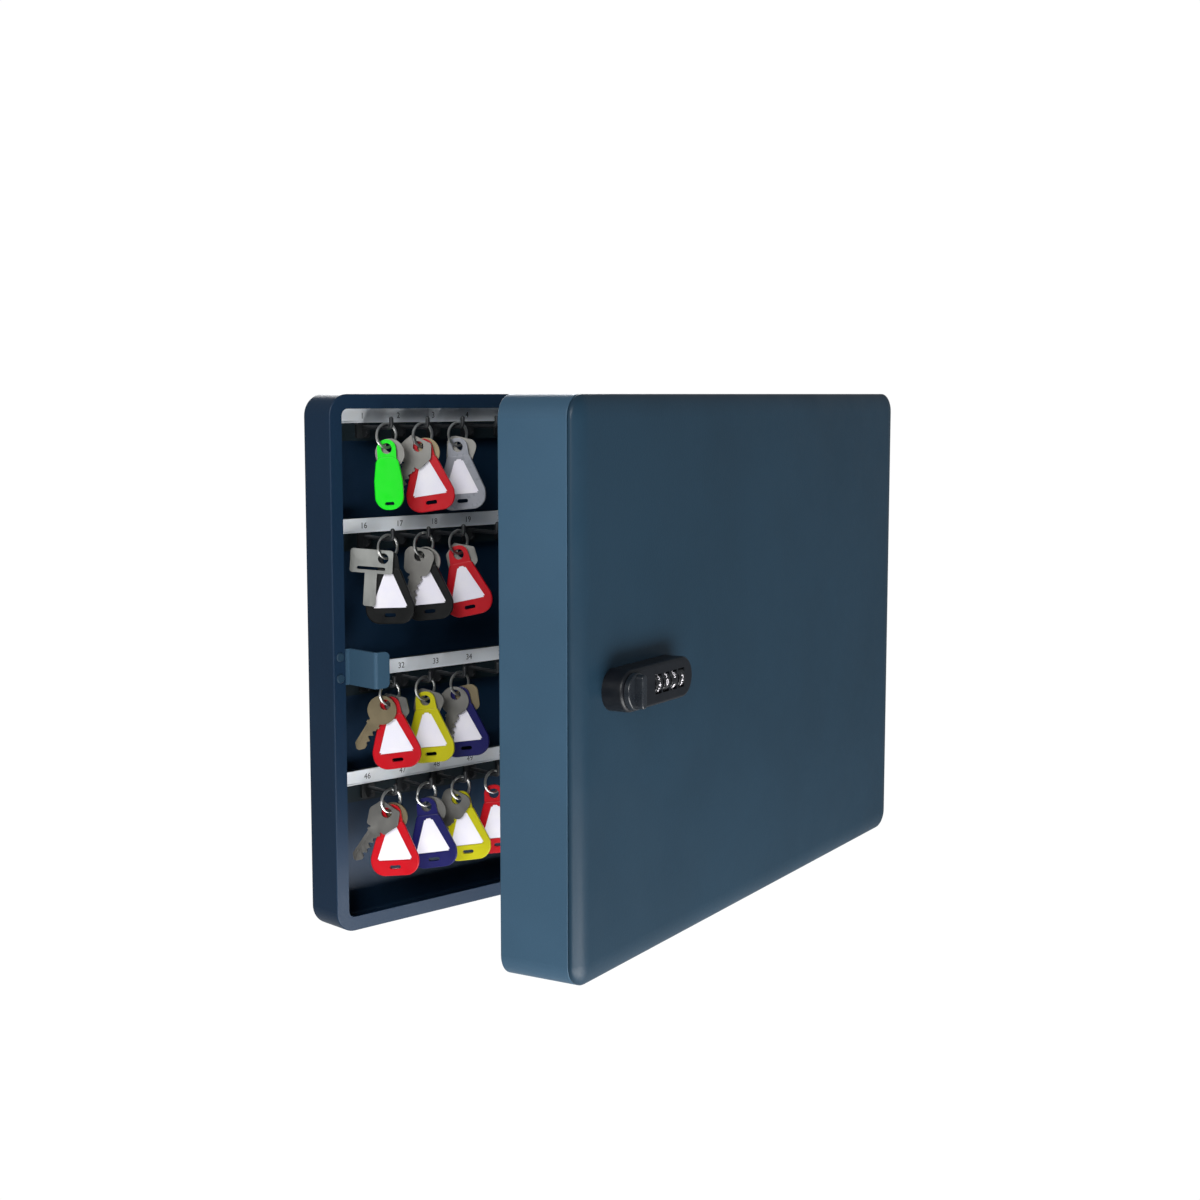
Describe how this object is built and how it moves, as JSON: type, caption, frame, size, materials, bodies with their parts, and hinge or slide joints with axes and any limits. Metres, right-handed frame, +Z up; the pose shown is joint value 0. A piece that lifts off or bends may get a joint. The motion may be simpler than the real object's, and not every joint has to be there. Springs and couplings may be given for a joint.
{
  "type": "key organiser",
  "caption": "Wall-hung key cabinet with a deep side-hinged door, combination lock, strike bracket, numbered hook bars and swinging key tags.",
  "frame": {"origin": "centre of the four wall holes, on the wall face of the case", "axes": "+X right, +Y into the wall, +Z up; the front looks along -Y"},
  "size_m": [0.4322, 0.2005, 0.3],
  "materials": {
    "case_paint": "satin powder coat, dark blue grey",
    "bar_paint": "satin powder coat, near black",
    "rivet_paint": "painted rivet",
    "hinge_paint": "painted hinge leaf",
    "door_side_paint": "satin powder coat, dark blue grey",
    "door_paint": "satin powder coat, dark blue grey",
    "zinc_steel": "zinc plated",
    "lock_black": "fine moulded, black",
    "knob_black": "semi gloss, black",
    "wheel_plastic": "black with white printed numbers",
    "label_card": "white card",
    "hook_plastic": "moulded, black",
    "key_metal": "nickel plated, worn",
    "tag_green": "moulded",
    "tag_red": "moulded",
    "tag_clear": "moulded, milky",
    "tag_black": "moulded",
    "tag_yellow": "moulded",
    "tag_navy": "moulded"
  },
  "bodies": {
    "case": {"case_shell": "case_paint", "side_rails": "bar_paint", "strike_bracket": "door_side_paint", "case_rivets": "rivet_paint", "hinge_pin": "zinc_steel", "hinge_case_leaf": "hinge_paint", "hook_bar_1": "bar_paint", "label_strip_1": "label_card", "hook_row_1": "hook_plastic", "hook_bar_2": "bar_paint", "label_strip_2": "label_card", "hook_row_2": "hook_plastic", "hook_bar_3": "bar_paint", "label_strip_3": "label_card", "hook_row_3": "hook_plastic", "hook_bar_4": "bar_paint", "label_strip_4": "label_card", "hook_row_4": "hook_plastic"},
    "door": {"door_frame": "door_side_paint", "door_front": "door_paint", "hinge_door_leaf": "hinge_paint", "door_rivets": "rivet_paint", "lock_housing": "lock_black", "lock_nut": "zinc_steel", "lock_screws": "zinc_steel", "wheel_axle": "zinc_steel"},
    "knob": {"lock_knob": "knob_black", "lock_cam": "zinc_steel", "cam_screw": "zinc_steel"},
    "wheel_1": {"number_wheel_1": "wheel_plastic"},
    "wheel_2": {"number_wheel_2": "wheel_plastic"},
    "wheel_3": {"number_wheel_3": "wheel_plastic"},
    "wheel_4": {"number_wheel_4": "wheel_plastic"},
    "key_set_01": {"key_tag_01": "tag_green", "ring_and_keys_01": "key_metal"},
    "key_set_02": {"key_tag_02": "tag_red", "ring_and_keys_02": "key_metal"},
    "key_set_03": {"key_tag_03": "tag_clear", "ring_and_keys_03": "key_metal"},
    "key_set_04": {"ring_and_keys_04": "key_metal"},
    "key_set_05": {"key_tag_05": "tag_black", "ring_and_keys_05": "key_metal"},
    "key_set_06": {"key_tag_06": "tag_black", "ring_and_keys_06": "key_metal"},
    "key_set_07": {"key_tag_07": "tag_red", "ring_and_keys_07": "key_metal"},
    "key_set_08": {"key_tag_08": "tag_red", "ring_and_keys_08": "key_metal"},
    "key_set_09": {"key_tag_09": "tag_yellow", "ring_and_keys_09": "key_metal"},
    "key_set_10": {"key_tag_10": "tag_navy", "ring_and_keys_10": "key_metal"},
    "key_set_11": {"key_tag_11": "tag_red", "ring_and_keys_11": "key_metal"},
    "key_set_12": {"key_tag_12": "tag_navy", "ring_and_keys_12": "key_metal"},
    "key_set_13": {"key_tag_13": "tag_yellow", "ring_and_keys_13": "key_metal"},
    "key_set_14": {"ring_and_keys_14": "key_metal"}
  },
  "joints": [
    {"name": "door_hinge", "type": "hinge", "parent": "case", "child": "door", "pos_m": [0.2126, -0.027, 0], "axis": [0, 0, 1], "range_deg": [-16.2, 93.8]},
    {"name": "knob_turn", "type": "hinge", "parent": "door", "child": "knob", "pos_m": [-0.14578, -0.18631, 0], "axis": [-0.279, 0.9603, 0], "range_deg": [0, 90]},
    {"name": "wheel_1_spin", "type": "hinge", "parent": "door", "child": "wheel_1", "pos_m": [-0.11903, -0.1802, 0], "axis": [0.9603, 0.279, 0], "continuous": true},
    {"name": "wheel_2_spin", "type": "hinge", "parent": "door", "child": "wheel_2", "pos_m": [-0.11096, -0.17786, 0], "axis": [0.9603, 0.279, 0], "continuous": true},
    {"name": "wheel_3_spin", "type": "hinge", "parent": "door", "child": "wheel_3", "pos_m": [-0.10289, -0.17552, 0], "axis": [0.9603, 0.279, 0], "continuous": true},
    {"name": "wheel_4_spin", "type": "hinge", "parent": "door", "child": "wheel_4", "pos_m": [-0.09483, -0.17317, 0], "axis": [0.9603, 0.279, 0], "continuous": true},
    {"name": "key_set_01_swing", "type": "hinge", "parent": "case", "child": "key_set_01", "pos_m": [-0.1764, -0.032, 0.1315], "axis": [1, 0, 0], "range_deg": [-10, 4]},
    {"name": "key_set_02_swing", "type": "hinge", "parent": "case", "child": "key_set_02", "pos_m": [-0.1512, -0.032, 0.1315], "axis": [1, 0, 0], "range_deg": [-10, 4]},
    {"name": "key_set_03_swing", "type": "hinge", "parent": "case", "child": "key_set_03", "pos_m": [-0.126, -0.032, 0.1315], "axis": [1, 0, 0], "range_deg": [-10, 4]},
    {"name": "key_set_04_swing", "type": "hinge", "parent": "case", "child": "key_set_04", "pos_m": [-0.0756, -0.032, 0.1315], "axis": [1, 0, 0], "range_deg": [-10, 4]},
    {"name": "key_set_05_swing", "type": "hinge", "parent": "case", "child": "key_set_05", "pos_m": [-0.1764, -0.032, 0.07], "axis": [1, 0, 0], "range_deg": [-10, 4]},
    {"name": "key_set_06_swing", "type": "hinge", "parent": "case", "child": "key_set_06", "pos_m": [-0.1512, -0.032, 0.07], "axis": [1, 0, 0], "range_deg": [-10, 4]},
    {"name": "key_set_07_swing", "type": "hinge", "parent": "case", "child": "key_set_07", "pos_m": [-0.126, -0.032, 0.07], "axis": [1, 0, 0], "range_deg": [-10, 4]},
    {"name": "key_set_08_swing", "type": "hinge", "parent": "case", "child": "key_set_08", "pos_m": [-0.1764, -0.032, -0.012], "axis": [1, 0, 0], "range_deg": [-10, 4]},
    {"name": "key_set_09_swing", "type": "hinge", "parent": "case", "child": "key_set_09", "pos_m": [-0.1512, -0.032, -0.012], "axis": [1, 0, 0], "range_deg": [-10, 4]},
    {"name": "key_set_10_swing", "type": "hinge", "parent": "case", "child": "key_set_10", "pos_m": [-0.126, -0.032, -0.012], "axis": [1, 0, 0], "range_deg": [-10, 4]},
    {"name": "key_set_11_swing", "type": "hinge", "parent": "case", "child": "key_set_11", "pos_m": [-0.1764, -0.032, -0.0735], "axis": [1, 0, 0], "range_deg": [-10, 4]},
    {"name": "key_set_12_swing", "type": "hinge", "parent": "case", "child": "key_set_12", "pos_m": [-0.1512, -0.032, -0.0735], "axis": [1, 0, 0], "range_deg": [-10, 4]},
    {"name": "key_set_13_swing", "type": "hinge", "parent": "case", "child": "key_set_13", "pos_m": [-0.126, -0.032, -0.0735], "axis": [1, 0, 0], "range_deg": [-10, 4]},
    {"name": "key_set_14_swing", "type": "hinge", "parent": "case", "child": "key_set_14", "pos_m": [-0.1008, -0.032, -0.0735], "axis": [1, 0, 0], "range_deg": [-10, 4]}
  ]
}
